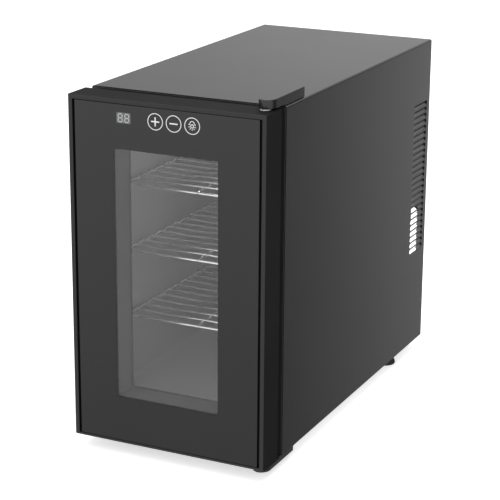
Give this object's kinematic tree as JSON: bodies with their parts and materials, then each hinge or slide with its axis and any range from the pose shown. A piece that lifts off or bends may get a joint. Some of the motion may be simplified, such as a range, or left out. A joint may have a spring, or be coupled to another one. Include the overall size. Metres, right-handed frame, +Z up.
{
  "type": "wine cooler",
  "caption": "Slim free-standing thermoelectric wine cooler with a right-hung glazed door, touch controls, sliding wire shelves, fans and side vents.",
  "frame": {"origin": "middle of the footprint, on the floor", "axes": "+Z up, the door faces -Y, +X to the right of someone facing the door"},
  "size_m": [0.252, 0.525, 0.4505],
  "materials": {
    "shell_paint": "satin powder coat",
    "door_plastic": "fine moulded texture",
    "printed_glass": "polished glass printed black behind, clear over the window",
    "clear_glass": "polished",
    "black_plastic": "satin",
    "liner_plastic": "satin",
    "foam": "closed-cell foam",
    "zinc_steel": "zinc plated",
    "bracket_paint": "satin paint",
    "chrome_wire": "bright chrome",
    "aluminium": "extruded",
    "ceramic": "white ceramic",
    "board": "soldered circuit board",
    "display": "lit digit display",
    "rubber": "moulded",
    "gasket": "soft extrusion",
    "white_plastic": "translucent",
    "lead_sheath": "flexible sheath"
  },
  "bodies": {
    "cabinet": {"outer_shell": "shell_paint", "rear_cover": "shell_paint", "base_pan": "shell_paint", "hinge_cover": "door_plastic", "front_frame": "black_plastic", "inner_liner": "liner_plastic", "insulation_foam": "foam", "foam_back_sheet": "zinc_steel", "cold_fan_cover": "liner_plastic", "cold_fan_frame": "black_plastic", "cold_heat_sink": "aluminium", "cold_block": "aluminium", "thermoelectric_module": "ceramic", "hot_heat_sink": "aluminium", "hot_fan_frame": "black_plastic", "fan_guard": "chrome_wire", "power_supply_housing": "black_plastic", "power_supply_board": "board", "inlet_socket": "black_plastic", "mains_lead": "lead_sheath", "hot_fan_lead": "lead_sheath", "lamp_lens": "white_plastic", "lamp_board": "board", "temperature_sensor": "white_plastic", "top_hinge_bracket": "zinc_steel", "bottom_hinge_bracket": "bracket_paint", "top_hinge_pin": "zinc_steel", "bottom_hinge_pin": "zinc_steel", "top_hinge_anchor": "zinc_steel", "bottom_hinge_anchor": "zinc_steel", "foot_front_left": "rubber", "foot_front_right": "rubber", "foot_rear_left": "rubber", "foot_rear_right": "rubber", "rear_screw_high_left": "zinc_steel", "rear_screw_high_right": "zinc_steel", "rear_screw_low_left": "zinc_steel", "rear_screw_low_right": "zinc_steel", "top_hinge_screw_left": "zinc_steel", "top_hinge_screw_right": "zinc_steel", "bottom_hinge_screw_left": "zinc_steel", "bottom_hinge_screw_right": "zinc_steel"},
    "door": {"door_frame": "door_plastic", "door_foam": "foam", "door_back_panel": "black_plastic", "front_glass": "printed_glass", "inner_glass": "clear_glass", "door_gasket": "gasket", "gasket_magnet": "rubber", "control_board": "board", "digit_display": "display", "door_bush_top": "white_plastic", "door_bush_bottom": "white_plastic"},
    "shelf_top": {"wire_shelf_top": "chrome_wire"},
    "shelf_middle": {"wire_shelf_middle": "chrome_wire"},
    "shelf_bottom": {"wire_shelf_bottom": "chrome_wire"},
    "cold_fan": {"cold_fan_rotor": "black_plastic"},
    "hot_fan": {"hot_fan_rotor": "black_plastic"}
  },
  "joints": [
    {"name": "door_hinge", "type": "hinge", "parent": "cabinet", "child": "door", "pos_m": [0.112, -0.2355, 0.016], "axis": [0, 0, 1], "range_deg": [0, 115]},
    {"name": "shelf_top_slide", "type": "slide", "parent": "cabinet", "child": "shelf_top", "axis": [0, -1, 0], "range_m": [0, 0.037]},
    {"name": "shelf_middle_slide", "type": "slide", "parent": "cabinet", "child": "shelf_middle", "axis": [0, -1, 0], "range_m": [0, 0.037]},
    {"name": "shelf_bottom_slide", "type": "slide", "parent": "cabinet", "child": "shelf_bottom", "axis": [0, -1, 0], "range_m": [0, 0.037]},
    {"name": "cold_fan_spin", "type": "hinge", "parent": "cabinet", "child": "cold_fan", "pos_m": [0, 0.1355, 0.131], "axis": [0, 1, 0], "continuous": true},
    {"name": "hot_fan_spin", "type": "hinge", "parent": "cabinet", "child": "hot_fan", "pos_m": [0, 0.2415, 0.131], "axis": [0, 1, 0], "continuous": true}
  ]
}
